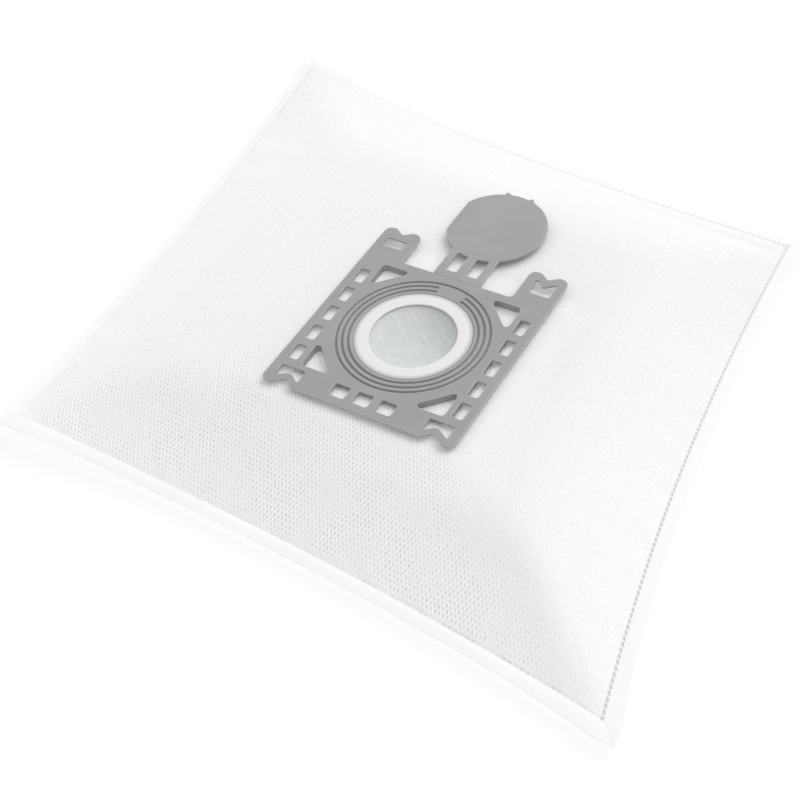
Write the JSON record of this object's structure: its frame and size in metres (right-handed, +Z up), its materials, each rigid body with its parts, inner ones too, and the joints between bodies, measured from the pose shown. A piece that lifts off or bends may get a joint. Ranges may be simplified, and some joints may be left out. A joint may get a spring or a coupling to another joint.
{
  "type": "vacuum dust bag",
  "caption": "Puffed square filter bag welded all round, with a slotted collar plate over its mouth, a soft sealing ring and a fold-over closing lid.",
  "frame": {"origin": "under the middle of the whole outline, on the surface that the bag lies on", "axes": "+Z up out of the mouth, +X across the collar, +Y from the mouth to the closing lid's hinge"},
  "size_m": [0.3394, 0.3164, 0.0283],
  "materials": {
    "bag_fabric": "white embossed nonwoven",
    "liner_fabric": "thin grey-white nonwoven with soft creases",
    "collar_plastic": "fine matte grey moulding",
    "membrane_rubber": "smooth satin white"
  },
  "bodies": {
    "bag": {"bag_top_panel": "bag_fabric", "bag_bottom_panel": "bag_fabric", "inner_liner": "liner_fabric", "collar_plate": "collar_plastic", "sealing_membrane": "membrane_rubber"},
    "lid": {"closure_lid": "collar_plastic"}
  },
  "joints": [
    {"name": "lid_fold", "type": "hinge", "parent": "bag", "child": "lid", "pos_m": [0.00725, 0.01805, 0.02845], "axis": [1, 0, 0], "range_deg": [0, 180]}
  ]
}
